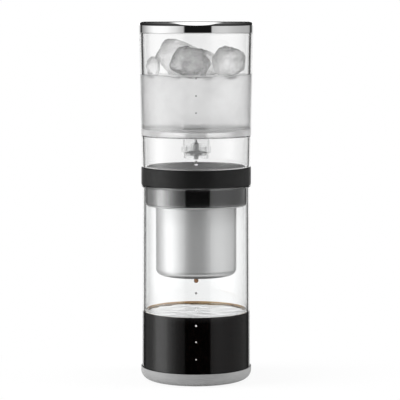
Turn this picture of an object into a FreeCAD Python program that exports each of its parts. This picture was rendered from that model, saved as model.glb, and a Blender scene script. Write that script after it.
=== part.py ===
"""Cold drip coffee tower: a lidded water tank with a drip valve, a collar with a steel dripper, and a server on a soft pad.

Millimetres, +Z up. The origin is the centre of the pad's underside, and every piece is turned about the Z axis.
"""

import FreeCAD, Part
import math
import os

from FreeCAD import Vector

# Clearances
seat_gap = 0.1  # between a piece that lifts off and the face it rests on
slip_gap = 0.4  # radial room round a piece that lifts out of another
push_gap = 0.05  # between pieces that stay together
turn_gap = 0.08  # radial room of the valve's turning and sliding fits

# Small roundings
sheet_edge = 0.35
sheet_bend = 0.7
moulded_edge = 0.6

# Water tank, the clear upper vessel
skirt_radius = 46.45  # outside, at the foot of its skirt, which sets the tower's width
tank_draft = 0.0199  # how much the radius grows for each millimetre of height
tank_height = 119.4
tank_wall = 3.0  # round the water
skirt_wall = 2.0
skirt_depth = 27.2  # from under the tank's floor down to the foot of its skirt
skirt_corner = 1.2
tank_floor = 4.0
tank_corner = 4.0
lid_step = 5.3  # how far down the lid's side covers the tank
lid_step_depth = 0.93  # how far the tank is cut back under the lid
outlet_radius = 6.1

# Black band round the collar
band_proud = 0.6  # how far it stands out past the tank's skirt
band_wall = 3.8
band_height = 15.1

# Pressed steel
sheet = 0.8  # thickness of every pressed piece

# Dripper holder, the polished cup inside the band
holder_drop = 18.1  # how far its floor hangs below the band
holder_ledge = 7.7  # width of its floor round the basket
holder_corner = 2.5
holder_lip = 0.8  # how far its rolled rim stands out over the band

# Filter basket, the brushed cup that hangs in the holder's floor
basket_depth = 61.0
basket_corner = 6.0
flange_room = 2.4  # between its flange and the holder's wall
spout_wall = 1.0
spout_length = 0.9
drain_radius = 1.2

# Filter screen at the bottom of the basket
stand_room = 0.5
stand_width = 2.4
stand_height = 2.0
stand_slots = 8
stand_slot_width = 4.0
screen_room = 0.4
screen_thickness = 0.5
screen_hole = 0.9
screen_pitch = 7.0
clamp_width = 2.4
clamp_height = 1.6

# Spreader, the perforated dish over the coffee
spreader_lip = 4.2
spreader_depth = 6.4
spreader_corner = 1.6
spreader_hole = 0.8
spreader_pitch = 7.0
handle_radius = 4.5
handle_neck = 2.2
handle_foot = 3.2
handle_height = 9.0
handle_grip_height = 4.0
handle_roof = 2.0
rivet_radius = 1.1
rivet_head = 2.6
rivet_head_height = 0.8

# Rings of holes in the screen and the spreader
pattern_step = 6  # holes that each ring has more than the one inside it
pattern_turn = 11.0  # degrees that each ring is turned past the one inside it

# Server, the clear lower vessel
server_height = 165.2  # from its foot to the top of its mouth
server_draft = 0.0049
server_wall = 2.2
server_floor = 4.0
server_corner = 7.0
bead_proud = 1.1
bead_height = 1.9
bead_round = 0.85

# Soft pad under the server
pad_wall = 0.95
pad_height = 11.1
pad_floor = 3.0
pad_corner = 8.0
pad_foot_width = 6.0
pad_recess = 0.8

# Drip valve under the tank
shank_radius = 9.0
shank_length = 7.6
shank_corner = 1.0
valve_flange = 2.4  # how far the valve body stands out past its shank
valve_chamfer = 1.9
valve_height = 9.6
spigot_height = 8.6
valve_inlet = 3.0
inlet_taper = 1.2
seat_bore = 1.5
seat_depth = 3.4  # below the tank's floor, where the narrow seat begins
seat_length = 3.2
seat_chamfer = 0.8
key_count = 2
key_width = 1.6
key_height = 1.0
key_length = 4.2

washer_proud = 0.8  # how far the washer stands out past the valve body
washer_height = 1.2
nut_wall = 3.9
nut_height = 3.4
nut_slots = 6
nut_slot_width = 1.6
nut_slot_depth = 1.4

ring_section = 1.0
ring_rise = 1.6  # from the shank's foot to the ring's groove

needle_radius = 2.4
needle_room = 1.6  # round the needle, for the water
needle_collar = 1.1
needle_collar_height = 1.2
needle_tail_radius = 1.9
needle_tail_reach = 0.8
nozzle_bore = 0.8
needle_port = 0.6
needle_port_rise = 1.2
tip_set_back = 0.95  # from the shut needle's shoulder down from the seat
tip_radius = 1.35
tip_point = 0.5
tip_shoulder = 0.9
tip_length = 3.4
tip_peg_radius = 0.9
tip_peg_length = 2.0

knob_wall = 1.5
knob_grip = 2.05
knob_grip_height = 6.2
knob_grip_chamfer = 0.9
knob_height = 10.2
knob_floor = 2.6
knob_flutes = 14
knob_flute_radius = 1.5
knob_flute_depth = 0.8
knob_close_travel = 0.3  # upward, from dripping to shut

# Lid
lid_side = 5.8
lid_shoulder = 3.8
lid_crown = 0.4
liner_thickness = 1.7
liner_inset = 1.0  # from the lid's side to the liner's edge
liner_plug_depth = 4.8
liner_plug_wall = 2.2
liner_plug_room = 0.9
liner_ribs = 6
liner_rib_width = 1.6
liner_hub_radius = 8.0
seal_rise = 1.0  # from the plug's foot to the seal's groove
seal_height = 2.2
seal_bite = 0.9
seal_stand = 0.4

# Radii that follow
band_radius = skirt_radius + band_proud
holder_radius = band_radius - band_wall - push_gap
holder_inner = holder_radius - sheet
basket_radius = holder_inner - holder_ledge
basket_inner = basket_radius - sheet
flange_radius = holder_inner - flange_room
server_rim_radius = holder_radius + slip_gap + server_wall
server_radius = server_rim_radius + server_draft * (server_height - bead_height)
pad_radius = server_radius + push_gap + pad_wall
valve_radius = shank_radius + valve_flange
valve_bore = needle_radius + needle_room
knob_tail_radius = shank_radius + turn_gap + knob_wall
knob_radius = knob_tail_radius + knob_grip

# Heights that follow
server_floor_z = pad_floor + server_floor
server_top_z = pad_floor + server_height
band_z = server_top_z + seat_gap
band_top_z = band_z + band_height
holder_floor_z = band_z - holder_drop
basket_flange_z = holder_floor_z + sheet + seat_gap
basket_bottom_z = basket_flange_z - basket_depth
basket_floor_z = basket_bottom_z + sheet
screen_z = basket_floor_z + stand_height
spreader_lip_z = basket_flange_z + sheet + seat_gap
spreader_floor_z = spreader_lip_z + sheet - spreader_depth
skirt_foot_z = band_top_z + seat_gap
tank_under_z = skirt_foot_z + skirt_depth
tank_floor_z = tank_under_z + tank_floor
tank_top_z = skirt_foot_z + tank_height
lid_step_z = tank_top_z - lid_step
shank_top_z = tank_under_z - valve_height
shank_foot_z = shank_top_z - shank_length
seat_top_z = tank_under_z - seat_depth
seat_foot_z = seat_top_z - seat_length
tip_foot_z = seat_foot_z - knob_close_travel - tip_set_back
knob_top_z = shank_top_z - knob_close_travel - seat_gap
knob_bottom_z = knob_top_z - knob_height
knob_floor_z = knob_bottom_z + knob_floor
liner_z = tank_top_z + seat_gap
lid_foot_z = lid_step_z + 2 * seat_gap
lid_top_z = lid_foot_z + lid_side + lid_shoulder


def outline(corners):
    """Closed flat face in the XZ plane through corners given as (radius, height) or (radius, height, fillet)."""
    entries, exits, arcs = [], [], []
    for i, corner in enumerate(corners):
        here = Vector(corner[0], 0, corner[1])
        fillet = corner[2] if len(corner) > 2 else 0
        if not fillet:
            entries.append(here)
            exits.append(here)
            continue
        before, after = corners[i - 1], corners[(i + 1) % len(corners)]
        back = (Vector(before[0], 0, before[1]) - here).normalize()
        on = (Vector(after[0], 0, after[1]) - here).normalize()
        half = back.getAngle(on) / 2
        inward = (back + on).normalize()
        reach = fillet / math.tan(half)
        middle = here + inward * (fillet / math.sin(half) - fillet)
        entries.append(here + back * reach)
        exits.append(here + on * reach)
        arcs.append(Part.Arc(entries[-1], middle, exits[-1]).toShape())
    sides = []
    for i, leave in enumerate(exits):
        arrive = entries[(i + 1) % len(entries)]
        if leave.distanceToPoint(arrive) > 1e-6:
            sides.append(Part.LineSegment(leave, arrive).toShape())
    return Part.Face(Part.Wire(Part.__sortEdges__(sides + arcs)))


def turned(corners):
    """Solid turned about the Z axis from an outline."""
    return outline(corners).revolve(Vector(0, 0, 0), Vector(0, 0, 1), 360)


def drum(radius, bottom, top, x=0.0):
    """Upright cylinder between two heights."""
    return Part.makeCylinder(radius, top - bottom, Vector(x, 0, bottom))


def around(shape, count, start=0.0):
    """Copies of a shape, evenly spaced round the Z axis."""
    copies = []
    for i in range(count):
        copy = shape.copy()
        copy.rotate(Vector(0, 0, 0), Vector(0, 0, 1), start + 360.0 * i / count)
        copies.append(copy)
    return copies


def slot(width, reach, bottom, top):
    """Radial box from the axis outwards."""
    return Part.makeBox(reach, width, top - bottom, Vector(0, -width / 2, bottom))


def drilled(plate, hole, pitch, reach, bottom, top):
    """Plate with rings of holes out to a reach."""
    drills = []
    for ring in range(1, int(reach / pitch) + 1):
        drills += around(drum(hole, bottom, top, pitch * ring), pattern_step * ring, pattern_turn * ring)
    return plate.cut(Part.makeCompound(drills))


def tank_outer(z):
    """Outside radius of the tank at a height."""
    return skirt_radius + tank_draft * (z - skirt_foot_z)


def lid_inner():
    """Inside radius of the lid's side, clear of the step in the tank."""
    return tank_outer(lid_step_z) - lid_step_depth + slip_gap


def plug_radius():
    """Outside radius of the liner's plug in the tank's mouth."""
    return tank_outer(lid_step_z) - tank_wall - liner_plug_room


def basket_room(z):
    """Inside radius of the filter basket at a height."""
    corner = basket_corner - sheet
    below = min(corner, max(0.0, basket_floor_z + corner - z))
    return basket_inner - corner + math.sqrt(corner**2 - below**2)


def base_pad():
    """Soft cup that the server stands in, with a foot ring underneath."""
    foot_outer = pad_radius - pad_corner
    foot_inner = foot_outer - pad_foot_width
    inside = server_radius + push_gap
    return turned([
        (0, pad_recess),
        (foot_inner - pad_recess, pad_recess),
        (foot_inner, 0),
        (pad_radius, 0, pad_corner),
        (pad_radius, pad_height, sheet_edge),
        (inside, pad_height, sheet_edge),
        (inside, pad_floor, server_corner + push_gap),
        (0, pad_floor),
    ])


def server_vessel():
    """Clear straight-sided vessel with a bead round its mouth."""
    bead_z = server_top_z - bead_height
    bead_radius = server_rim_radius + bead_proud
    return turned([
        (0, pad_floor),
        (server_radius, pad_floor, server_corner),
        (server_rim_radius, bead_z),
        (bead_radius, bead_z, bead_round),
        (bead_radius, server_top_z, bead_round),
        (server_rim_radius - server_wall, server_top_z, moulded_edge),
        (server_radius - server_wall, server_floor_z, server_corner - server_wall),
        (0, server_floor_z),
    ])


def collar_band():
    """Black band that rests on the server's mouth and carries the tank's skirt."""
    inside = holder_radius + push_gap
    return turned([
        (inside, band_z),
        (band_radius, band_z, moulded_edge),
        (band_radius, band_top_z, moulded_edge),
        (inside, band_top_z),
    ])


def dripper_holder():
    """Polished cup whose rim hooks over the band and whose floor carries the basket."""
    rim_z = band_top_z + push_gap
    lip_radius = holder_radius + holder_lip
    hole = basket_radius + slip_gap
    return turned([
        (hole, holder_floor_z),
        (holder_radius, holder_floor_z, holder_corner),
        (holder_radius, rim_z),
        (lip_radius, rim_z),
        (lip_radius, rim_z + sheet, sheet_edge),
        (holder_inner, rim_z + sheet, sheet_bend),
        (holder_inner, holder_floor_z + sheet, holder_corner - sheet),
        (hole, holder_floor_z + sheet),
    ])


def filter_basket():
    """Deep brushed cup with a flange, a rounded foot and a small drip spout."""
    flange_top = basket_flange_z + sheet
    spout_radius = drain_radius + spout_wall
    spout_z = basket_bottom_z - spout_length
    return turned([
        (drain_radius, spout_z),
        (spout_radius, spout_z),
        (spout_radius, basket_bottom_z),
        (basket_radius, basket_bottom_z, basket_corner),
        (basket_radius, basket_flange_z),
        (flange_radius, basket_flange_z),
        (flange_radius, flange_top, sheet_edge),
        (basket_inner, flange_top, sheet_bend),
        (basket_inner, basket_floor_z, basket_corner - sheet),
        (drain_radius, basket_floor_z),
    ])


def screen_stand():
    """Slotted ring that holds the filter screen off the basket's floor."""
    outer = basket_room(basket_floor_z) - stand_room
    ring = drum(outer, basket_floor_z, screen_z).cut(drum(outer - stand_width, basket_floor_z, screen_z))
    cut = slot(stand_slot_width, basket_radius, basket_floor_z, screen_z - stand_height / 2)
    return ring.cut(Part.makeCompound(around(cut, stand_slots)))


def filter_screen():
    """Perforated disc at the bottom of the basket."""
    radius = basket_room(screen_z) - screen_room
    top = screen_z + screen_thickness
    disc = drum(radius, screen_z, top).cut(drum(screen_hole, screen_z, top))
    return drilled(disc, screen_hole, screen_pitch, radius - clamp_width, screen_z, top)


def screen_clamp():
    """Ring pressed in over the edge of the filter screen."""
    bottom = screen_z + screen_thickness
    top = bottom + clamp_height
    foot = basket_room(screen_z) - screen_room
    return turned([
        (foot - clamp_width, bottom),
        (foot, bottom),
        (basket_room(bottom + clamp_height / 2) - screen_room, top),
        (foot - clamp_width, top, sheet_edge),
    ])


def spreader_plate():
    """Shallow perforated dish that hangs by its lip on the basket's flange."""
    wall = basket_inner - slip_gap
    lip = wall + spreader_lip
    top = spreader_lip_z + sheet
    hole = rivet_radius + push_gap
    dish = turned([
        (hole, spreader_floor_z),
        (wall, spreader_floor_z, spreader_corner),
        (wall, spreader_lip_z),
        (lip, spreader_lip_z),
        (lip, top, sheet_edge),
        (wall - sheet, top, sheet_bend),
        (wall - sheet, spreader_floor_z + sheet, spreader_corner - sheet),
        (hole, spreader_floor_z + sheet),
    ])
    reach = wall - spreader_corner - spreader_hole
    return drilled(dish, spreader_hole, spreader_pitch, reach, spreader_floor_z, spreader_floor_z + sheet)


def spreader_handle():
    """Small turned knob for lifting the spreader."""
    foot = spreader_floor_z + sheet + push_gap
    top = foot + handle_height
    grip_z = top - handle_grip_height
    flare = handle_foot - handle_neck
    hole = rivet_radius + push_gap
    return turned([
        (hole, foot),
        (handle_foot, foot),
        (handle_neck, foot + flare),
        (handle_neck, grip_z - flare),
        (handle_radius, grip_z, moulded_edge),
        (handle_radius, top, 2 * moulded_edge),
        (0, top),
        (0, top - handle_roof),
        (hole, top - handle_roof),
    ])


def spreader_rivet():
    """Rivet from under the spreader up into its handle."""
    under = spreader_floor_z - push_gap
    top = spreader_floor_z + sheet + handle_height - handle_roof
    return turned([
        (0, under - rivet_head_height),
        (rivet_head, under - rivet_head_height, rivet_head_height / 2),
        (rivet_head, under),
        (rivet_radius, under),
        (rivet_radius, top),
        (0, top),
    ])


def water_tank():
    """Clear tapered tank whose wall runs on below the floor as a skirt, with a step under the lid."""
    step_outer = tank_outer(lid_step_z)
    step_inner = step_outer - lid_step_depth
    return turned([
        (outlet_radius, tank_under_z),
        (tank_outer(tank_under_z) - skirt_wall, tank_under_z, skirt_corner),
        (skirt_radius - skirt_wall, skirt_foot_z, moulded_edge),
        (skirt_radius, skirt_foot_z, moulded_edge),
        (step_outer, lid_step_z, sheet_edge),
        (step_inner, lid_step_z),
        (step_inner, tank_top_z, moulded_edge),
        (step_outer - tank_wall, tank_top_z, moulded_edge),
        (tank_outer(tank_floor_z) - tank_wall, tank_floor_z, tank_corner),
        (outlet_radius, tank_floor_z),
    ])


def valve_outline():
    """Corners of the valve body's turned outline."""
    spigot = outlet_radius - push_gap
    spigot_top = tank_under_z + spigot_height
    groove_foot = shank_foot_z + ring_rise
    groove_top = groove_foot + ring_section + 2 * push_gap
    groove_radius = shank_radius - ring_section - push_gap
    return [
        (valve_inlet, spigot_top),
        (valve_inlet, seat_top_z + inlet_taper),
        (seat_bore, seat_top_z),
        (seat_bore, seat_foot_z),
        (valve_bore, seat_foot_z - seat_chamfer),
        (valve_bore, shank_foot_z),
        (shank_radius, shank_foot_z, shank_corner),
        (shank_radius, groove_foot),
        (groove_radius, groove_foot),
        (groove_radius, groove_top),
        (shank_radius, groove_top),
        (shank_radius, shank_top_z),
        (valve_radius, shank_top_z, moulded_edge),
        (valve_radius, tank_under_z - valve_chamfer),
        (valve_radius - valve_chamfer, tank_under_z - push_gap),
        (spigot, tank_under_z - push_gap),
        (spigot, spigot_top, sheet_edge),
    ]


def valve_body():
    """Clear valve body under the tank, with a spigot up through the floor and a keyed shank for the knob."""
    bore_top = seat_foot_z - seat_chamfer
    way = slot(key_width, valve_bore + key_height, shank_foot_z, bore_top)
    core = drum(valve_bore - key_height / 2, shank_foot_z, bore_top)
    keyways = [keyway.cut(core) for keyway in around(way, key_count)]
    return turned(valve_outline()).cut(Part.makeCompound(keyways))


def outlet_washer():
    """Soft washer between the tank's floor and the nut inside it."""
    inner = outlet_radius + push_gap
    outer = valve_radius + washer_proud
    return turned([
        (inner, tank_floor_z),
        (outer, tank_floor_z),
        (outer, tank_floor_z + washer_height, sheet_edge),
        (inner, tank_floor_z + washer_height),
    ])


def outlet_nut():
    """Slotted nut inside the tank that holds the valve body up."""
    bottom = tank_floor_z + washer_height
    top = bottom + nut_height
    inner = outlet_radius + push_gap
    outer = outlet_radius + nut_wall
    ring = turned([
        (inner, bottom),
        (outer, bottom),
        (outer, top, moulded_edge),
        (inner, top),
    ])
    cut = slot(nut_slot_width, outer + nut_slot_width, top - nut_slot_depth, top)
    return ring.cut(Part.makeCompound(around(cut, nut_slots)))


def knob_ring():
    """Round sealing ring in the shank's groove."""
    section = ring_section / 2
    height = shank_foot_z + ring_rise + push_gap + section
    return Part.makeTorus(shank_radius - section, section, Vector(0, 0, height))


def valve_needle():
    """Needle that rises and falls with the knob but is keyed against turning, with the drip nozzle at its tail."""
    collar = needle_radius + needle_collar
    collar_foot = knob_floor_z + push_gap
    collar_top = collar_foot + needle_collar_height
    tail_foot = knob_bottom_z - needle_tail_reach
    port_z = collar_top + needle_port_rise
    socket = tip_peg_radius + push_gap
    needle = turned([
        (nozzle_bore, tail_foot),
        (needle_tail_radius, tail_foot, sheet_edge),
        (needle_tail_radius, collar_foot),
        (collar, collar_foot),
        (collar, collar_top),
        (needle_radius, collar_top),
        (needle_radius, tip_foot_z, sheet_edge),
        (socket, tip_foot_z),
        (socket, tip_foot_z - tip_peg_length),
        (0, tip_foot_z - tip_peg_length),
        (0, port_z + 2 * needle_port),
        (nozzle_bore, port_z + 2 * needle_port),
    ])
    port = Part.makeCylinder(needle_port, 2 * needle_radius, Vector(0, -needle_radius, port_z), Vector(0, 1, 0))
    key_reach = valve_bore + key_height - slip_gap
    key = slot(key_width - 2 * turn_gap, key_reach, collar_foot, collar_foot + key_length)
    core = drum(nozzle_bore + push_gap, collar_foot, collar_foot + key_length)
    keys = [blade.cut(core) for blade in around(key, key_count)]
    return needle.fuse(keys).cut(port).removeSplitter()


def needle_tip():
    """Soft cone on the needle that closes the seat."""
    foot = tip_foot_z + push_gap
    peg_foot = tip_foot_z - tip_peg_length + push_gap
    cone_foot = foot + tip_shoulder
    return turned([
        (0, peg_foot),
        (tip_peg_radius, peg_foot),
        (tip_peg_radius, foot),
        (needle_radius - sheet_edge, foot),
        (tip_radius, cone_foot),
        (tip_point, cone_foot + tip_length, tip_point / 2),
        (0, cone_foot + tip_length),
    ])


def valve_knob():
    """Clear fluted knob that screws up the shank to shut the valve."""
    bore = shank_radius + turn_gap
    grip_foot = knob_top_z - knob_grip_height
    tail_hole = needle_tail_radius + turn_gap
    knob = turned([
        (tail_hole, knob_bottom_z),
        (knob_tail_radius, knob_bottom_z, moulded_edge),
        (knob_tail_radius, grip_foot),
        (knob_radius, grip_foot + knob_grip_chamfer, moulded_edge),
        (knob_radius, knob_top_z, moulded_edge),
        (bore, knob_top_z),
        (bore, knob_floor_z, shank_corner / 2),
        (tail_hole, knob_floor_z),
    ])
    reach = knob_radius + knob_flute_radius - knob_flute_depth
    flute = drum(knob_flute_radius, grip_foot, knob_top_z, reach)
    return knob.cut(Part.makeCompound(around(flute, knob_flutes)))


def lid_shell():
    """Polished pressed lid with a short side, a round shoulder and a slightly crowned top."""
    inner = lid_inner()
    outer = inner + sheet
    return turned([
        (inner, lid_foot_z, sheet_edge),
        (outer, lid_foot_z, sheet_edge),
        (outer, lid_top_z, lid_shoulder),
        (0, lid_top_z + lid_crown),
        (0, lid_top_z + lid_crown - sheet),
        (inner, lid_top_z - sheet, lid_shoulder - sheet),
    ])


def lid_liner():
    """Moulded liner inside the lid, with a plug in the tank's mouth and ribs up to the shell."""
    outer = lid_inner() - liner_inset
    plug = plug_radius()
    bore = plug - liner_plug_wall
    plug_foot = tank_top_z - liner_plug_depth
    groove_z = plug_foot + seal_rise
    disc_top = liner_z + liner_thickness
    rib_top = lid_top_z - sheet - seat_gap
    liner = turned([
        (0, liner_z),
        (bore, liner_z, moulded_edge),
        (bore, plug_foot, sheet_edge),
        (plug, plug_foot, sheet_edge),
        (plug, groove_z),
        (plug - seal_bite, groove_z),
        (plug - seal_bite, groove_z + seal_height),
        (plug, groove_z + seal_height),
        (plug, liner_z),
        (outer, liner_z, sheet_edge),
        (outer, disc_top, sheet_edge),
        (0, disc_top),
    ])
    rib = slot(liner_rib_width, outer - lid_shoulder, disc_top, rib_top)
    hub = drum(liner_hub_radius, disc_top, rib_top + lid_crown / 2)
    return liner.fuse(around(rib, liner_ribs) + [hub]).removeSplitter()


def lid_seal():
    """Soft ring in the liner's groove that closes the tank's mouth."""
    plug = plug_radius()
    foot = tank_top_z - liner_plug_depth + seal_rise + push_gap
    top = foot + seal_height - 2 * push_gap
    inner = plug - seal_bite + push_gap
    return turned([
        (inner, foot),
        (plug, foot),
        (plug + seal_stand, (foot + top) / 2, seal_stand),
        (plug, top),
        (inner, top),
    ])


PIECES = [
    base_pad,
    server_vessel,
    collar_band,
    dripper_holder,
    filter_basket,
    screen_stand,
    filter_screen,
    screen_clamp,
    spreader_plate,
    spreader_handle,
    spreader_rivet,
    water_tank,
    valve_body,
    outlet_washer,
    outlet_nut,
    knob_ring,
    valve_needle,
    needle_tip,
    valve_knob,
    lid_shell,
    lid_liner,
    lid_seal,
]

os.makedirs("parts", exist_ok=True)
for piece in PIECES:
    shape = piece()
    shape.exportStep(f"parts/{piece.__name__}.step")
    box = shape.optimalBoundingBox(False)
    print(f"{piece.__name__:16s} solids {len(shape.Solids)} valid {shape.isValid()} volume {shape.Volume:10.1f}"
          f" z {box.ZMin:7.2f} to {box.ZMax:7.2f} radius {box.XMax:6.2f}")
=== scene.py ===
"""Looks for the cold drip coffee tower: smooth pieces, iced water, coffee and a plain studio."""

import math
import random

import bmesh
import bpy
from mathutils import Matrix, Vector, noise

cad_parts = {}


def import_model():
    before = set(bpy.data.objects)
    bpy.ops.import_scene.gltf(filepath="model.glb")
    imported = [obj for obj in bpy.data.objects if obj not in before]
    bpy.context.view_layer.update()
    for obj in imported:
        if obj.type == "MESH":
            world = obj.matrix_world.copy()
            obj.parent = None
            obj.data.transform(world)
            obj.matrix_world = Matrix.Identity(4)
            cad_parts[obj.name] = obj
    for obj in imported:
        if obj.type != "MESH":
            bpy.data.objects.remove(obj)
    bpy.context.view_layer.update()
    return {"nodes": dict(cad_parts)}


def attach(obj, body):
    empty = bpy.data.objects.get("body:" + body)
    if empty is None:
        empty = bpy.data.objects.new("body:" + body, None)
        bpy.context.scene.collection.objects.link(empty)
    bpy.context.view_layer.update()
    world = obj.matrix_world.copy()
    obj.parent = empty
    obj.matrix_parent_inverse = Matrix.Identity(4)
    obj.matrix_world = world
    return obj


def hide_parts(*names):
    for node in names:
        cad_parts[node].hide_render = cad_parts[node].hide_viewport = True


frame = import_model()
nodes = frame["nodes"]

MM = 0.001
TURN = 2 * math.pi
SEGMENTS = 144
FINE_SEGMENTS = 192


# Sizes in millimetres, read from the frame

def extent(node):
    """Outer radius, foot and top of a CAD node."""
    obj = nodes[node]
    corners = [obj.matrix_world @ v.co for v in obj.data.vertices]
    radius = max(v.x for v in corners) / MM
    return radius, min(v.z for v in corners) / MM, max(v.z for v in corners) / MM


pad_radius, _, pad_top = extent("base_pad")
bead_radius, server_foot, server_top = extent("server_vessel")
band_radius, band_foot, band_top = extent("collar_band")
lip_radius, holder_foot, holder_top = extent("dripper_holder")
flange_radius, spout_foot, flange_top = extent("filter_basket")
tank_radius, skirt_foot, tank_top = extent("water_tank")
_, _, spigot_top = extent("valve_body")
washer_radius, tank_floor, washer_top = extent("outlet_washer")
lid_radius, lid_foot, lid_top = extent("lid_shell")

# Walls and roundings of the pieces that are drawn again more smoothly
sheet = 0.8
sheet_edge = 0.35
sheet_bend = 0.7
moulded_edge = 0.6
push_gap = 0.05
pad_wall = 1.0
pad_corner = 8.0
pad_foot_width = 6.0
pad_recess = 0.8
server_wall = 2.2
server_floor = 4.0
server_corner = 7.0
bead_proud = 1.1
bead_height = 1.9
bead_round = 0.85
band_wall = 3.8
holder_lip = 0.8
holder_corner = 2.5
holder_ledge = 7.7
basket_gap = 0.4
basket_corner = 6.0
spout_length = 0.9
drain_radius = 1.2
spout_wall = 1.0
tank_wall = 3.0
skirt_wall = 2.0
skirt_corner = 1.2
skirt_set_back = 0.6
tank_corner = 4.0
tank_under = 4.0
outlet_radius = 6.1
lid_step = 5.3
lid_step_depth = 0.93
lid_shoulder = 3.8
lid_crown = 0.4

server_radius = pad_radius - pad_wall
rim_radius = bead_radius - bead_proud
server_inner_floor = server_foot + server_floor
holder_radius = lip_radius - holder_lip
basket_radius = holder_radius - sheet - holder_ledge
basket_foot = spout_foot + spout_length
skirt_radius = band_radius - skirt_set_back

# Levels of what the tower holds
water_level = 262.0
coffee_level = 59.0


def server_outer(z):
    """Outer radius of the server at a height."""
    share = (z - server_foot) / (server_top - bead_height - server_foot)
    return server_radius + (rim_radius - server_radius) * share


def tank_outer(z):
    """Outer radius of the tank at a height."""
    share = (z - skirt_foot) / (tank_top - lid_step - skirt_foot)
    return skirt_radius + (tank_radius - skirt_radius) * share


# Shapes

def rounded(corners, step=0.16):
    """Profile points through (radius, height) or (radius, height, fillet), with the fillets as arcs."""
    points = []
    for i, corner in enumerate(corners):
        here = Vector(corner[:2])
        fillet = corner[2] if len(corner) > 2 else 0
        if not fillet:
            points.append(here)
            continue
        before = (Vector(corners[i - 1][:2]) - here).normalized()
        after = (Vector(corners[(i + 1) % len(corners)][:2]) - here).normalized()
        half = before.angle(after) / 2
        inward = (before + after).normalized()
        centre = here + inward * fillet / math.sin(half)
        first = here + before * fillet / math.tan(half) - centre
        last = here + after * fillet / math.tan(half) - centre
        sweep = first.angle(last)
        count = max(4, round(sweep / step))
        for k in range(count + 1):
            t = k / count
            mixed = first * math.sin((1 - t) * sweep) + last * math.sin(t * sweep)
            points.append(centre + mixed / math.sin(sweep))
    return points


def held(points, margin=0.25, straight=1.5):
    """The points, with one more near each end of a long straight, so that its shading stays even."""
    result = []
    for here, after in zip(points, points[1:] + points[:1]):
        result.append(here)
        run = after - here
        if run.length > straight and (here.x > 1e-6 or after.x > 1e-6):
            inset = run.normalized() * margin
            result += [here + inset, after - inset]
    return result


def around(radius, degrees, z):
    """Place at a radius and height, at an angle from the front."""
    a = math.radians(degrees)
    return (radius * math.sin(a), -radius * math.cos(a), z)


def put_in_scene(name, data):
    """Object around a mesh, a lamp or a camera."""
    obj = bpy.data.objects.new(name, data)
    bpy.context.scene.collection.objects.link(obj)
    return obj


def link_mesh(name, bm):
    """Object from a bmesh, in the scene."""
    mesh = bpy.data.meshes.new(name)
    bm.to_mesh(mesh)
    bm.free()
    return put_in_scene(name, mesh)


def solid(name, bm, smooth_angle=35):
    """Smooth closed object from a bmesh."""
    bmesh.ops.remove_doubles(bm, verts=bm.verts, dist=1e-7)
    bmesh.ops.recalc_face_normals(bm, faces=bm.faces)
    obj = link_mesh(name, bm)
    for face in obj.data.polygons:
        face.use_smooth = True
    obj.data.set_sharp_from_angle(angle=math.radians(smooth_angle))
    return obj


def lathe(name, corners, segments=SEGMENTS, smooth_angle=35):
    """Closed solid turned about Z from a profile in mm."""
    bm = bmesh.new()
    loops = []
    for r, z in held(rounded(corners)):
        if r < 1e-6:
            loops.append([bm.verts.new((0, 0, z * MM))])
            continue
        angles = [TURN * k / segments for k in range(segments)]
        loops.append([bm.verts.new((r * MM * math.cos(a), r * MM * math.sin(a), z * MM)) for a in angles])
    for i, low in enumerate(loops):
        high = loops[(i + 1) % len(loops)]
        if len(low) == 1 and len(high) == 1:
            continue
        for k in range(segments):
            n = (k + 1) % segments
            if len(low) == 1:
                bm.faces.new((low[0], high[k], high[n]))
            elif len(high) == 1:
                bm.faces.new((low[k], low[n], high[0]))
            else:
                bm.faces.new((low[k], low[n], high[n], high[k]))
    return solid(name, bm, smooth_angle)


# Materials

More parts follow.
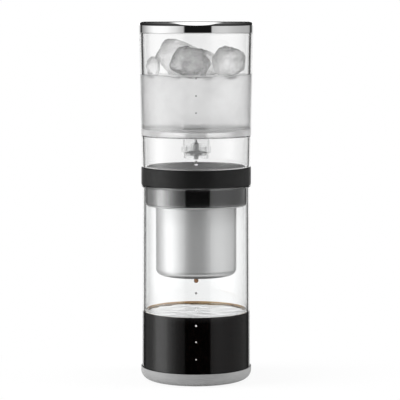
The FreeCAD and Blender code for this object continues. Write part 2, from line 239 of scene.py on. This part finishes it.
class Shader:
    """A material with a Principled shader and short calls to add procedural detail."""

    def __init__(self, name, **values):
        self.mat = bpy.data.materials.new(name)
        self.mat.use_nodes = True
        self.tree = self.mat.node_tree
        self.bsdf = self.tree.nodes["Principled BSDF"]
        for key, value in values.items():
            self.bsdf.inputs[key.replace("_", " ")].default_value = value

    def node(self, kind, **values):
        node = self.tree.nodes.new(kind)
        for key, value in values.items():
            if hasattr(node, key):
                setattr(node, key, value)
            else:
                node.inputs[key.replace("_", " ")].default_value = value
        return node

    def link(self, out, into):
        self.tree.links.new(out, into)

    def noise(self, scale, stretch=(1, 1, 1), detail=4.0, rough=0.55):
        """Noise over the object's own coordinates."""
        coords = self.node("ShaderNodeTexCoord")
        mapping = self.node("ShaderNodeMapping")
        mapping.inputs["Scale"].default_value = stretch
        self.link(coords.outputs["Object"], mapping.inputs["Vector"])
        tex = self.node("ShaderNodeTexNoise", Scale=scale, Detail=detail, Roughness=rough)
        self.link(mapping.outputs["Vector"], tex.inputs["Vector"])
        return tex.outputs["Fac"]

    def ramp(self, fac, low, high, start=0.3, end=0.7):
        """Grey value between low and high as fac goes from start to end."""
        ramp = self.node("ShaderNodeMapRange")
        ramp.inputs["From Min"].default_value = start
        ramp.inputs["From Max"].default_value = end
        ramp.inputs["To Min"].default_value = low
        ramp.inputs["To Max"].default_value = high
        self.link(fac, ramp.inputs["Value"])
        return ramp.outputs["Result"]

    def base(self, fac, low, high, start=0.3, end=0.7):
        """Base colour between low and high as fac goes from start to end."""
        ramp = self.node("ShaderNodeValToRGB")
        ramp.color_ramp.elements[0].position = start
        ramp.color_ramp.elements[0].color = (*low, 1)
        ramp.color_ramp.elements[1].position = end
        ramp.color_ramp.elements[1].color = (*high, 1)
        self.link(fac, ramp.inputs["Fac"])
        self.link(ramp.outputs["Color"], self.bsdf.inputs["Base Color"])

    def roughness(self, fac, low, high, start=0.3, end=0.7):
        self.link(self.ramp(fac, low, high, start, end), self.bsdf.inputs["Roughness"])

    def bump(self, fac, distance, strength=1.0):
        bump = self.node("ShaderNodeBump", Strength=strength, Distance=distance)
        self.link(fac, bump.inputs["Height"])
        self.link(bump.outputs["Normal"], self.bsdf.inputs["Normal"])


def grey(value):
    return (value, value, value)


def clear_plastic(name, tint, haze=0.02, ior=1.5, through=1.0, alpha=1.0):
    s = Shader(name, Transmission_Weight=through, IOR=ior, Alpha=alpha)
    s.base(s.noise(9), tuple(0.99 * v for v in tint), tint)
    s.roughness(s.noise(45, detail=6), 0.3 * haze, haze, 0.45, 0.8)
    s.bump(s.noise(30, detail=1), 0.00001)
    return s.mat


def tank_plastic():
    """Clear plastic that is a little frosted through the tank's floor."""
    frost = 0.3
    milky = 0.75
    under = tank_floor - tank_under
    s = Shader("tank_plastic", Transmission_Weight=1.0, IOR=1.5)
    s.base(s.noise(9), grey(0.98), grey(0.99))
    coords = s.node("ShaderNodeTexCoord")
    axes = s.node("ShaderNodeSeparateXYZ")
    s.link(coords.outputs["Object"], axes.inputs["Vector"])
    height = axes.outputs["Z"]
    into = s.ramp(height, 0.0, 1.0, (under - 0.3) * MM, (under + 0.4) * MM)
    out = s.ramp(height, 1.0, 0.0, (tank_floor + 1.0) * MM, (tank_floor + tank_corner) * MM)
    inside = s.node("ShaderNodeMath", operation="MULTIPLY")
    s.link(into, inside.inputs[0])
    s.link(out, inside.inputs[1])
    haze = s.node("ShaderNodeMath", operation="MULTIPLY_ADD")
    s.link(inside.outputs[0], haze.inputs[0])
    haze.inputs[1].default_value = frost
    s.link(s.ramp(s.noise(45, detail=6), 0.004, 0.02, 0.45, 0.8), haze.inputs[2])
    s.link(haze.outputs[0], s.bsdf.inputs["Roughness"])
    s.link(s.ramp(inside.outputs[0], 1.0, milky, 0.0, 1.0), s.bsdf.inputs["Transmission Weight"])
    s.bump(s.noise(30, detail=1), 0.00001)
    return s.mat


def polished_steel(name, value):
    s = Shader(name, Metallic=1.0)
    s.base(s.noise(14), grey(0.97 * value), grey(value))
    s.roughness(s.noise(60, detail=8), 0.03, 0.06)
    s.bump(s.noise(900, (1, 1, 0.15)), 0.000002, 0.3)
    return s.mat


def brushed_steel(name, metallic, value):
    s = Shader(name, Metallic=metallic, Anisotropic=0.5)
    tangent = s.node("ShaderNodeTangent", direction_type="RADIAL", axis="Z")
    s.link(tangent.outputs["Tangent"], s.bsdf.inputs["Tangent"])
    lines = s.noise(160, (0.25, 0.25, 60), detail=4, rough=0.6)
    s.base(lines, grey(0.94 * value), grey(value))
    s.roughness(lines, 0.30, 0.37)
    s.bump(lines, 0.000003, 0.2)
    return s.mat


def silicone(name, low, high, rough, specular=0.45):
    s = Shader(name, Specular_IOR_Level=specular)
    s.base(s.noise(70, detail=6), low, high)
    s.roughness(s.noise(320), rough - 0.07, rough + 0.07)
    s.bump(s.noise(1500, detail=2), 0.00002, 0.4)
    return s.mat


def moulded_plastic(name, value):
    s = Shader(name, Specular_IOR_Level=0.5)
    s.base(s.noise(50, detail=5), grey(value * 0.85), grey(value * 1.15))
    s.roughness(s.noise(400), 0.36, 0.5)
    s.bump(s.noise(2200, detail=2), 0.00001, 0.6)
    return s.mat


def coffee_liquid():
    s = Shader("coffee_liquid", Specular_IOR_Level=0.4, IOR=1.33)
    s.base(s.noise(22, detail=3), (0.0012, 0.0007, 0.0006), (0.003, 0.0014, 0.001))
    s.roughness(s.noise(16), 0.02, 0.05)
    s.bump(s.noise(70, detail=1), 0.00009, 0.35)
    return s.mat


def thin_coffee(name, low, high):
    s = Shader(name, Transmission_Weight=0.8, IOR=1.33)
    s.base(s.noise(60), low, high)
    s.roughness(s.noise(60), 0.04, 0.12)
    s.bump(s.noise(200), 0.00003, 0.4)
    return s.mat


def ice():
    s = Shader("ice", Transmission_Weight=1.0, IOR=1.27)
    middle = s.node("ShaderNodeMath", operation="SUBTRACT")
    s.link(s.noise(170, detail=8, rough=0.75), middle.inputs[0])
    veins = s.node("ShaderNodeMath", operation="ABSOLUTE")
    s.link(middle.outputs[0], veins.inputs[0])
    s.base(veins.outputs[0], grey(0.68), grey(1.0), 0.0, 0.02)
    s.roughness(s.noise(150, detail=7, rough=0.65), 0.0, 0.08, 0.42, 0.62)
    s.bump(s.noise(240, detail=6, rough=0.65), 0.0022, 1.0)
    return s.mat


def iced_water():
    s = Shader("iced_water", Transmission_Weight=0.88, IOR=1.06)
    s.base(s.noise(48, detail=6, rough=0.6), grey(0.86), grey(1.0), 0.38, 0.6)
    s.roughness(s.noise(55, detail=5), 0.35, 0.6)
    s.bump(s.noise(45, detail=4), 0.0012, 0.6)
    return s.mat


def water_clear():
    s = Shader("water_clear", Transmission_Weight=1.0, IOR=1.33)
    s.base(s.noise(30), grey(0.97), grey(1.0))
    s.roughness(s.noise(30), 0.0, 0.02)
    return s.mat


def print_ink(name, value):
    s = Shader(name, Specular_IOR_Level=0.3)
    s.base(s.noise(900), grey(value * 0.92), grey(value))
    s.roughness(s.noise(500), 0.45, 0.6)
    return s.mat


CLEAR = clear_plastic("clear_plastic", (0.985, 0.99, 0.99))
TANK_CLEAR = tank_plastic()
VALVE_CLEAR = clear_plastic(
    "valve_clear_plastic", (0.97, 0.98, 0.98), haze=0.3, ior=1.15, through=0.8, alpha=0.3)
POLISHED = polished_steel("polished_steel", 0.84)
DARK_STEEL = polished_steel("dark_polished_steel", 0.25)
BRUSHED = brushed_steel("brushed_steel", 0.72, 0.86)
SATIN = brushed_steel("satin_steel", 0.3, 0.95)
GREY_SILICONE = silicone("grey_silicone", grey(0.29), grey(0.33), 0.62, 0.3)
BLACK_SILICONE = silicone("black_silicone", grey(0.004), grey(0.008), 0.38, 0.3)
CLEAR_SILICONE = silicone("clear_silicone", grey(0.72), grey(0.82), 0.4)
BLACK_PLASTIC = moulded_plastic("black_plastic", 0.03)
COFFEE = coffee_liquid()
TAN = thin_coffee("coffee_tan", (0.45, 0.24, 0.07), (0.80, 0.58, 0.30))
AMBER = thin_coffee("coffee_amber", (0.16, 0.05, 0.015), (0.55, 0.26, 0.09))
ICE = ice()
ICED_WATER = iced_water()
WATER = water_clear()
WHITE_INK = print_ink("white_ink", 0.9)
GREY_INK = print_ink("grey_ink", 0.3)


def dress(node, mat):
    """Give a CAD node its material."""
    obj = nodes[node]
    obj.data.materials.clear()
    obj.data.materials.append(mat)


for node, mat in {
    "filter_screen": BRUSHED,
    "screen_stand": BRUSHED,
    "screen_clamp": BRUSHED,
    "spreader_plate": BRUSHED,
    "spreader_handle": BLACK_PLASTIC,
    "spreader_rivet": BRUSHED,
    "valve_body": VALVE_CLEAR,
    "valve_knob": VALVE_CLEAR,
    "outlet_washer": CLEAR_SILICONE,
    "outlet_nut": VALVE_CLEAR,
    "knob_ring": CLEAR_SILICONE,
    "valve_needle": SATIN,
    "needle_tip": CLEAR_SILICONE,
    "lid_liner": BLACK_PLASTIC,
    "lid_seal": CLEAR_SILICONE,
}.items():
    dress(node, mat)


def stand_for(obj, body, node, mat):
    """Piece drawn in place of a CAD node."""
    obj.data.materials.append(mat)
    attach(obj, body)
    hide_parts(node)


def content(obj, body, mat):
    """Something that the tower holds."""
    obj.data.materials.append(mat)
    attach(obj, body)


# Smooth pieces in place of the CAD nodes

def draw_pad():
    foot_inner = pad_radius - pad_corner - pad_foot_width
    inside = server_radius + push_gap
    pad = lathe("pad", [
        (0, pad_recess),
        (foot_inner - pad_recess, pad_recess),
        (foot_inner, 0),
        (pad_radius, 0, pad_corner),
        (pad_radius, pad_top, sheet_edge),
        (inside, pad_top, sheet_edge),
        (inside, server_foot, server_corner + push_gap),
        (0, server_foot),
    ])
    stand_for(pad, "server", "base_pad", GREY_SILICONE)


def draw_server():
    server = lathe("server", [
        (0, server_foot),
        (server_radius, server_foot, server_corner),
        (rim_radius, server_top - bead_height),
        (bead_radius, server_top - bead_height, bead_round),
        (bead_radius, server_top, bead_round),
        (rim_radius - server_wall, server_top, moulded_edge),
        (server_radius - server_wall, server_inner_floor, server_corner - server_wall),
        (0, server_inner_floor),
    ], FINE_SEGMENTS)
    stand_for(server, "server", "server_vessel", CLEAR)


def draw_band():
    inside = band_radius - band_wall
    band = lathe("band", [
        (inside, band_foot),
        (band_radius, band_foot, moulded_edge),
        (band_radius, band_top, moulded_edge),
        (inside, band_top),
    ])
    stand_for(band, "dripper", "collar_band", BLACK_SILICONE)


def draw_holder():
    inner = holder_radius - sheet
    hole = inner - holder_ledge + basket_gap
    holder = lathe("holder", [
        (hole, holder_foot),
        (holder_radius, holder_foot, holder_corner),
        (holder_radius, holder_top - sheet),
        (lip_radius, holder_top - sheet),
        (lip_radius, holder_top, sheet_edge),
        (inner, holder_top, sheet_bend),
        (inner, holder_foot + sheet, holder_corner - sheet),
        (hole, holder_foot + sheet),
    ])
    stand_for(holder, "dripper", "dripper_holder", DARK_STEEL)
    holder.data.materials.append(BRUSHED)
    # The faces that look at the axis are brushed
    inward = -0.5
    for face in holder.data.polygons:
        if face.normal.dot(face.center) < inward * Vector(face.center[:2]).length:
            face.material_index = 1


def draw_basket():
    inner = basket_radius - sheet
    spout = drain_radius + spout_wall
    basket = lathe("basket", [
        (drain_radius, spout_foot),
        (spout, spout_foot),
        (spout, basket_foot),
        (basket_radius, basket_foot, basket_corner),
        (basket_radius, flange_top - sheet),
        (flange_radius, flange_top - sheet),
        (flange_radius, flange_top, sheet_edge),
        (inner, flange_top, sheet_bend),
        (inner, basket_foot + sheet, basket_corner - sheet),
        (drain_radius, basket_foot + sheet),
    ])
    stand_for(basket, "basket", "filter_basket", BRUSHED)


def draw_tank():
    under = tank_floor - tank_under
    step = tank_top - lid_step
    mouth = tank_radius - lid_step_depth
    tank = lathe("tank", [
        (outlet_radius, under),
        (tank_outer(under) - skirt_wall, under, skirt_corner),
        (skirt_radius - skirt_wall, skirt_foot, moulded_edge),
        (skirt_radius, skirt_foot, moulded_edge),
        (tank_radius, step, sheet_edge),
        (mouth, step),
        (mouth, tank_top, moulded_edge),
        (tank_radius - tank_wall, tank_top, moulded_edge),
        (tank_outer(tank_floor) - tank_wall, tank_floor, tank_corner),
        (outlet_radius, tank_floor),
    ], FINE_SEGMENTS)
    stand_for(tank, "tank", "water_tank", TANK_CLEAR)


def draw_lid():
    inner = lid_radius - sheet
    edge = lid_top - lid_crown
    lid = lathe("lid", [
        (inner, lid_foot, sheet_edge),
        (lid_radius, lid_foot, sheet_edge),
        (lid_radius, edge, lid_shoulder),
        (0, lid_top),
        (0, lid_top - sheet),
        (inner, edge - sheet, lid_shoulder - sheet),
    ], FINE_SEGMENTS)
    stand_for(lid, "lid", "lid_shell", POLISHED)


draw_pad()
draw_server()
draw_band()
draw_holder()
draw_basket()
draw_tank()
draw_lid()


# Ice, water and coffee

def chunk(name, centre, size, seed, sharp=0.16, points=34):
    """Rounded lump of ice: the hull of scattered points, smoothed and roughened."""
    voxel = 0.0008
    grain = 130
    relief = 0.0012
    rnd = random.Random(seed)
    bm = bmesh.new()
    for _ in range(points):
        v = Vector((rnd.gauss(0, 1), rnd.gauss(0, 1), rnd.gauss(0, 1))).normalized()
        v *= 1 - sharp * rnd.random()
        bm.verts.new(Vector((v.x * size[0], v.y * size[1], v.z * size[2])) * MM / 2)
    bmesh.ops.convex_hull(bm, input=bm.verts)
    loose = [v for v in bm.verts if not v.link_faces]
    bmesh.ops.delete(bm, geom=loose, context="VERTS")
    obj = solid(name, bm, 180)
    remesh = obj.modifiers.new("remesh", "REMESH")
    remesh.mode = "VOXEL"
    remesh.voxel_size = voxel
    smooth = obj.modifiers.new("smooth", "SMOOTH")
    smooth.iterations = 5
    bpy.context.view_layer.update()
    depsgraph = bpy.context.evaluated_depsgraph_get()
    done = bpy.data.meshes.new_from_object(obj.evaluated_get(depsgraph))
    obj.modifiers.clear()
    obj.data = done
    for v in done.vertices:
        p = v.co * grain + Vector((seed, 0, 0))
        v.co += v.normal * relief * noise.fractal(p, 0.75, 2.3, 5)
    for face in done.polygons:
        face.use_smooth = True
    obj.location = Vector(centre) * MM
    return obj


def ripple(obj, level, height):
    """Move the surface of a liquid up and down a little."""
    depth = 0.6
    waves = 90
    for v in obj.data.vertices:
        if v.co.z > (level - depth) * MM:
            v.co.z += height * MM * noise.noise(Vector((v.co.x, v.co.y, 0)) * waves)


def surface(radius, level, count=24):
    """Profile points across a liquid's surface, from the wall to the middle."""
    return [(radius * (1 - k / count), level) for k in range(1, count)] + [(0, level)]


def pour_water():
    """Iced water, touching the tank's wall and floor, with a meniscus."""
    bite = 0.04
    climb = 0.8
    wall = tank_outer(water_level) - tank_wall
    flat = wall - 1.1
    nut = washer_radius + 0.2
    over_nut = spigot_top + 0.5
    corners = [
        (0, over_nut),
        (nut - 2.0, over_nut),
        (nut, washer_top + 0.6),
        (nut, tank_floor - bite),
        (tank_outer(tank_floor) - tank_wall + bite, tank_floor - bite, tank_corner),
        (wall + bite, water_level + climb),
        (flat, water_level),
    ]
    water = lathe("iced_water", corners + surface(flat, water_level), smooth_angle=50)
    ripple(water, water_level, 1.4)
    content(water, "tank", ICED_WATER)


def drop_ice():
    """Lumps that float with their tops out of the water."""
    # Place, size and random seed of each lump
    lumps = [
        (-37.0, -4.0, 268.5, 13.0, 18.0, 24.0, 11),
        (-15.0, 14.0, 276.8, 43.0, 34.0, 41.0, 24),
        (-4.5, -17.0, 272.3, 38.0, 30.0, 32.0, 35),
        (28.0, -6.0, 273.0, 30.0, 36.0, 33.0, 47),
        (10.0, 25.0, 270.5, 34.0, 26.0, 27.0, 59),
    ]
    for k, (x, y, z, wide, deep, high, seed) in enumerate(lumps):
        content(chunk(f"ice_chunk_{k + 1}", (x, y, z), (wide, deep, high), seed), "tank", ICE)


def pour_coffee():
    """Coffee, touching the server's wall and floor, with a brown edge where it thins out."""
    bite = 0.05
    climb = 0.3
    wall = server_outer(coffee_level) - server_wall
    flat = wall - 0.9
    floor_wall = server_outer(server_inner_floor) - server_wall
    corners = [
        (0, server_inner_floor - bite),
        (floor_wall + bite, server_inner_floor - bite, server_corner - server_wall),
        (wall + bite, coffee_level + climb),
        (flat, coffee_level),
    ]
    coffee = lathe("coffee", corners + surface(flat, coffee_level), smooth_angle=50)
    ripple(coffee, coffee_level, 0.2)
    content(coffee, "server", COFFEE)
    edge = lathe("coffee_edge", [
        (wall - 2.0, coffee_level + 0.12),
        (wall + bite, coffee_level + climb),
        (wall + bite, coffee_level + 1.5),
        (wall - 0.35, coffee_level + 0.6),
    ])
    # The brown edge is thinner in front and grows to its full height behind
    thin = 0.15
    growth = 30 * MM
    base = coffee_level * MM
    for v in edge.data.vertices:
        behind = min(1.0, max(0.0, 0.5 + v.co.y / growth))
        v.co.z = base + (v.co.z - base) * (thin + (1 - thin) * behind)
    content(edge, "server", TAN)


def drop(name, radius, z, neck, body, mat):
    """Falling or hanging drop: round below, drawn out above."""
    profile = [(0, -radius)]
    count = 15
    taper = 0.2
    for k in range(1, count):
        a = math.pi * k / count
        lift = (1 - math.cos(a)) / 2
        out = radius * math.sin(a) * (1 - taper * lift)
        up = -radius * math.cos(a) * (1 + (neck - 1) * lift**2)
        profile.append((out, up))
    profile.append((0, radius * neck))
    obj = lathe(name, profile, 40, 180)
    obj.data.transform(Matrix.Translation(Vector((0, 0, z)) * MM))
    content(obj, body, mat)


def bubbles(name, places, size):
    """Small bubbles on the coffee, at angles from the front in degrees."""
    wall = server_outer(coffee_level) - server_wall
    height = coffee_level + 0.2
    for k, (angle, inset) in enumerate(places):
        bm = bmesh.new()
        radius = size * (0.7 + 0.3 * math.sin(7 * k)) * MM
        bmesh.ops.create_uvsphere(bm, u_segments=16, v_segments=8, radius=radius)
        obj = solid(f"{name}_{k + 1}", bm, 180)
        place = Vector(around(wall - inset, angle, height)) * MM
        obj.data.transform(Matrix.Translation(place))
        content(obj, "server", WATER)


pour_water()
drop_ice()
pour_coffee()
drop("water_drop", radius=1.9, z=186.0, neck=1.35, body="needle", mat=WATER)
drop("coffee_drop", radius=2.2, z=85.0, neck=1.9, body="basket", mat=AMBER)
bubbles("bubble_right", [
    (121, 1.6), (127, 2.6), (131, 1.3), (137, 2.2), (124, 4.2), (143, 1.6), (116, 2.0),
], size=0.75)
bubbles("bubble_front", [
    (-7, 1.2), (-5, 1.6), (-2, 1.1), (1, 1.5), (4, 1.2), (27, 1.3),
], size=0.5)


# Printed level dots

def dot(name, wall, z, diameter, mat, body):
    """Thin printed disc that follows a vessel's wall at the front."""
    bm = bmesh.new()
    ring_count, around_count = 3, 20
    print_back, print_face = 0.012, 0.05
    edges = []
    for lift in (print_back, print_face):
        r = (wall + lift) * MM
        centre = bm.verts.new((0, -r, z * MM))
        loops = []
        for j in range(1, ring_count + 1):
            loop = []
            for k in range(around_count):
                a = TURN * k / around_count
                rho = diameter / 2 * j / ring_count
                across = rho * math.cos(a) / wall
                up = (z + rho * math.sin(a)) * MM
                loop.append(bm.verts.new((r * math.sin(across), -r * math.cos(across), up)))
            loops.append(loop)
        for k in range(around_count):
            n = (k + 1) % around_count
            bm.faces.new((centre, loops[0][k], loops[0][n]))
            for j in range(ring_count - 1):
                bm.faces.new((loops[j][k], loops[j + 1][k], loops[j + 1][n], loops[j][n]))
        edges.append(loops[-1])
    for k in range(around_count):
        n = (k + 1) % around_count
        bm.faces.new((edges[0][k], edges[1][k], edges[1][n], edges[0][n]))
    obj = solid(name, bm, 60)
    obj.data.materials.append(mat)
    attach(obj, body)


# Height and width of the dots on the server, then the heights and the width on the tank
SERVER_DOTS = [(80.3, 2.1), (66.3, 1.6), (52.6, 1.45), (38.8, 1.25), (23.9, 1.1)]
TANK_DOTS = [260.3, 245.8, 231.6]
TANK_DOT_WIDTH = 1.4

for k, (z, size) in enumerate(SERVER_DOTS):
    dot(f"server_level_{k + 1}", server_outer(z), z, size, WHITE_INK if k else GREY_INK, "server")
for k, z in enumerate(TANK_DOTS):
    dot(f"tank_level_{k + 1}", tank_outer(z), z, TANK_DOT_WIDTH, GREY_INK, "tank")


# Studio

STUDIO_HEIGHT = 0.31
CARD_FOOT = -0.9
CARD_TOP = 0.43
CARD_RADIUS = 1.15

# Heights on the surrounding sheet that the coffee, the basket, the holder and the lid mirror
MIRRORED_HEIGHTS = [(CARD_FOOT, -0.11), (-0.085, 0.02), (0.045, 0.08), (0.28, CARD_TOP)]

# Strength of the light round the tower, by degrees from the front, positive to the right, at those heights
SURROUND = [
    (-156, 1.0, 1.0, 1.0, 1.0),
    (-148, 0.05, 0.05, 0.05, 0.3),
    (-144, 0.05, 0.05, 0.05, 0.04),
    (-138, 0.07, 0.10, 0.20, 0.04),
    (-134, 0.20, 0.30, 0.44, 0.3),
    (-119, 0.30, 0.45, 0.50, 0.62),
    (-107, 0.45, 0.80, 0.80, 0.9),
    (-99, 0.80, 1.50, 1.18, 1.05),
    (-91, 1.34, 2.00, 1.90, 1.18),
    (-80, 1.55, 2.20, 2.10, 1.2),
    (-68, 1.40, 2.20, 1.40, 1.2),
    (-58, 0.76, 2.20, 0.90, 1.15),
    (-49, 0.47, 2.00, 0.55, 1.0),
    (-40, 0.26, 1.60, 0.32, 0.9),
    (-31, 0.17, 1.20, 0.22, 0.7),
    (-25, 0.12, 0.90, 0.18, 0.6),
    (-22, 0.01, 0.35, 0.01, 0.01),
    (29, 0.01, 0.55, 0.01, 0.01),
    (32, 0.24, 1.20, 0.25, 0.66),
    (45, 0.32, 1.45, 0.28, 0.75),
    (60, 0.30, 1.60, 0.29, 0.75),
    (78, 0.26, 1.40, 0.27, 0.64),
    (90, 0.27, 1.20, 0.25, 0.59),
    (106, 0.26, 0.85, 0.24, 0.53),
    (120, 0.26, 0.80, 0.27, 0.52),
    (130, 0.20, 0.50, 0.33, 0.45),
    (138, 0.08, 0.10, 0.20, 0.04),
    (144, 0.05, 0.05, 0.05, 0.04),
    (148, 0.05, 0.05, 0.05, 0.3),
    (156, 1.0, 1.0, 1.0, 1.0),
]


def light(name, see_past):
    """Light at the sheet's own level, or white where see_past and no reflection came before."""
    mat = bpy.data.materials.new(name)
    mat.use_nodes = True
    tree = mat.node_tree
    tree.nodes.clear()
    out = tree.nodes.new("ShaderNodeOutputMaterial")
    em = tree.nodes.new("ShaderNodeEmission")
    level = tree.nodes.new("ShaderNodeAttribute")
    level.attribute_name = "level"
    strength = level.outputs["Fac"]
    if see_past:
        path = tree.nodes.new("ShaderNodeLightPath")
        choice = tree.nodes.new("ShaderNodeMapRange")
        choice.inputs["To Min"].default_value = 1.0
        tree.links.new(path.outputs["Glossy Depth"], choice.inputs["Value"])
        tree.links.new(strength, choice.inputs["To Max"])
        strength = choice.outputs["Result"]
    tree.links.new(strength, em.inputs["Strength"])
    tree.links.new(em.outputs["Emission"], out.inputs["Surface"])
    mat.cycles.emission_sampling = "NONE"
    return mat


def light_sheet(name, rows, glossy=True, through=False):
    """Studio sheet over rows of (place, level), seen only in reflections and through the clear vessels."""
    bm = bmesh.new()
    grid = [[bm.verts.new(place) for place, _ in row] for row in rows]
    for low, high in zip(grid, grid[1:]):
        for k in range(len(low) - 1):
            bm.faces.new((low[k], low[k + 1], high[k + 1], high[k]))
    obj = link_mesh(name, bm)
    levels = obj.data.attributes.new("level", "FLOAT", "POINT")
    levels.data.foreach_set("value", [level for row in rows for _, level in row])
    obj.data.materials.append(light(name, glossy and through))
    obj.visible_camera = False
    obj.visible_diffuse = False
    obj.visible_shadow = False
    obj.visible_volume_scatter = False
    obj.visible_glossy = glossy
    obj.visible_transmission = through


def around_level(degrees, height):
    """Strength of the surrounding light at an angle and one of the mirrored heights."""
    for near, far in zip(SURROUND, SURROUND[1:]):
        if degrees <= far[0]:
            share = (degrees - near[0]) / (far[0] - near[0])
            return near[1 + height] + (far[1 + height] - near[1 + height]) * share
    return SURROUND[-1][1 + height]


def surround():
    """Tall curved sheet round the tower, open behind it."""
    first, last = SURROUND[0][0], SURROUND[-1][0]
    rows = []
    for height, span in enumerate(MIRRORED_HEIGHTS):
        for z in span:
            angles = range(first, last + 1)
            rows.append([(around(CARD_RADIUS, a, z), around_level(a, height)) for a in angles])
    light_sheet("surround", rows, through=True)


def flag(name, side):
    """Dark sheet behind one side, which the edges of the clear walls show as a thin line."""
    radius = 0.99 * CARD_RADIUS
    dark = 0.04
    angles = range(134, 153, 3)
    rows = []
    for z in (CARD_FOOT, CARD_TOP):
        rows.append([(around(radius, side * a, z), dark) for a in angles])
    light_sheet(name, rows, glossy=False, through=True)


def ceiling():
    """Dark dome over the surround."""
    radius = 1.25
    rings, columns = 12, 48
    dark, brighter_on_top = 0.02, 0.4
    low = math.atan2(CARD_TOP - STUDIO_HEIGHT, CARD_RADIUS)
    angles = [360 * k / columns for k in range(columns + 1)]
    rows = []
    for j in range(rings + 1):
        e = low + (math.pi / 2 - low) * j / rings
        level = dark + brighter_on_top * (j / rings) ** 2
        ring, z = radius * math.cos(e), STUDIO_HEIGHT + radius * math.sin(e)
        rows.append([(around(ring, a, z), level) for a in angles])
    light_sheet("ceiling", rows)


def overhead():
    """Long softbox from front to back over the tower, fading at its sides."""
    reach = 1.1
    width = 0.85
    tilt, sweep = 68, 52
    strength, fade = 1.5, 2.2
    count, columns = 24, 12
    rows = []
    for j in range(count + 1):
        share = 2 * j / count - 1
        e = math.radians(tilt + sweep * share)
        half = reach * width * math.sqrt(max(0.0, 1 - share**2))
        row = []
        for i in range(-columns, columns + 1):
            x = i / columns
            level = strength * min(1.0, fade * (1 - abs(x))) ** 2
            row.append(((half * x, -reach * math.cos(e), STUDIO_HEIGHT + reach * math.sin(e)), level))
        rows.append(row)
    light_sheet("overhead", rows)


def back_light():
    """Bright sheet far behind, which only the coffee's surface mirrors."""
    away, level = 6.0, 2.1
    rows = [[((x, away, z), level) for x in (-2.0, 2.0)] for z in (0.6, 2.0)]
    light_sheet("back_light", rows, through=True)


surround()
flag("flag_left", -1)
flag("flag_right", 1)
ceiling()
overhead()
back_light()


def seen_by(tree, kinds):
    """One where the ray is of any of the kinds."""
    path = tree.nodes.new("ShaderNodeLightPath")
    total = path.outputs[kinds[0]]
    for kind in kinds[1:]:
        either = tree.nodes.new("ShaderNodeMath")
        either.operation = "MAXIMUM"
        tree.links.new(total, either.inputs[0])
        tree.links.new(path.outputs[kind], either.inputs[1])
        total = either.outputs[0]
    return total


def floor():
    """Pale floor that fades into white away from the tower."""
    half_width = 6.0
    fade_start, fade_end = 0.05, 0.2
    bm = bmesh.new()
    bmesh.ops.create_grid(bm, x_segments=40, y_segments=40, size=half_width)
    obj = link_mesh("floor", bm)
    s = Shader("floor_paper", Specular_IOR_Level=0.1, Roughness=0.8)
    s.base(s.noise(3, detail=3), grey(0.90), grey(0.92))
    white = s.node("ShaderNodeEmission")
    coords = s.node("ShaderNodeTexCoord")
    length = s.node("ShaderNodeVectorMath", operation="LENGTH")
    s.link(coords.outputs["Object"], length.inputs[0])
    far = s.ramp(length.outputs["Value"], 0.88, 1.0, fade_start, fade_end)
    both = s.node("ShaderNodeMath", operation="MULTIPLY")
    s.link(seen_by(s.tree, ["Is Camera Ray"]), both.inputs[0])
    s.link(far, both.inputs[1])
    mix = s.node("ShaderNodeMixShader")
    s.link(both.outputs[0], mix.inputs["Fac"])
    s.link(s.bsdf.outputs["BSDF"], mix.inputs[1])
    s.link(white.outputs["Emission"], mix.inputs[2])
    s.link(mix.outputs["Shader"], s.tree.nodes["Material Output"].inputs["Surface"])
    s.mat.cycles.emission_sampling = "NONE"
    obj.data.materials.append(s.mat)
    obj.visible_glossy = False
    obj.visible_transmission = False


floor()


def world():
    """White all round, dimmer as a light than as it is seen."""
    as_light, as_seen = 0.27, 1.0
    studio = bpy.data.worlds.new("studio")
    bpy.context.scene.world = studio
    studio.use_nodes = True
    tree = studio.node_tree
    background = tree.nodes["Background"]
    background.inputs["Color"].default_value = (1, 1, 1, 1)
    level = tree.nodes.new("ShaderNodeMapRange")
    level.inputs["To Min"].default_value = as_light
    level.inputs["To Max"].default_value = as_seen
    seen = seen_by(tree, ["Is Camera Ray", "Is Transmission Ray", "Is Glossy Ray"])
    tree.links.new(seen, level.inputs["Value"])
    tree.links.new(level.outputs["Result"], background.inputs["Strength"])


world()


def facing(place, aim):
    """Turn that points a lamp or the camera from its place at its aim."""
    return (Vector(aim) - Vector(place)).to_track_quat("-Z", "Y").to_euler()


def area_lamp(name, place, aim, size, power):
    """Soft lamp that lights the tower but isn't seen."""
    lamp = bpy.data.lights.new(name, "AREA")
    lamp.shape = "RECTANGLE"
    lamp.size, lamp.size_y = size
    lamp.energy = power
    obj = put_in_scene(name, lamp)
    obj.location = place
    obj.rotation_euler = facing(place, aim)
    obj.visible_camera = False
    obj.visible_glossy = False
    obj.visible_transmission = False


middle = (0, 0, 0.15)
area_lamp("key_left", (-1.6, -0.3, 0.75), middle, size=(0.9, 1.3), power=38)
area_lamp("fill_right", (1.6, -0.1, 0.6), middle, size=(0.9, 1.3), power=24)
area_lamp("top", (0, 0.1, 1.6), middle, size=(1.4, 1.4), power=9)


def camera():
    """Long lens at the photograph's angle."""
    side, away, aim_height = 0.0033, 1.65, 0.1546
    data = bpy.data.cameras.new("camera")
    data.sensor_width = 36
    data.lens = 173.5
    data.clip_end = 40
    obj = put_in_scene("camera", data)
    obj.location = (side, -away, STUDIO_HEIGHT)
    obj.rotation_euler = facing(obj.location, (side, 0, aim_height))
    bpy.context.scene.camera = obj


camera()
bpy.context.scene.view_settings.view_transform = "Standard"
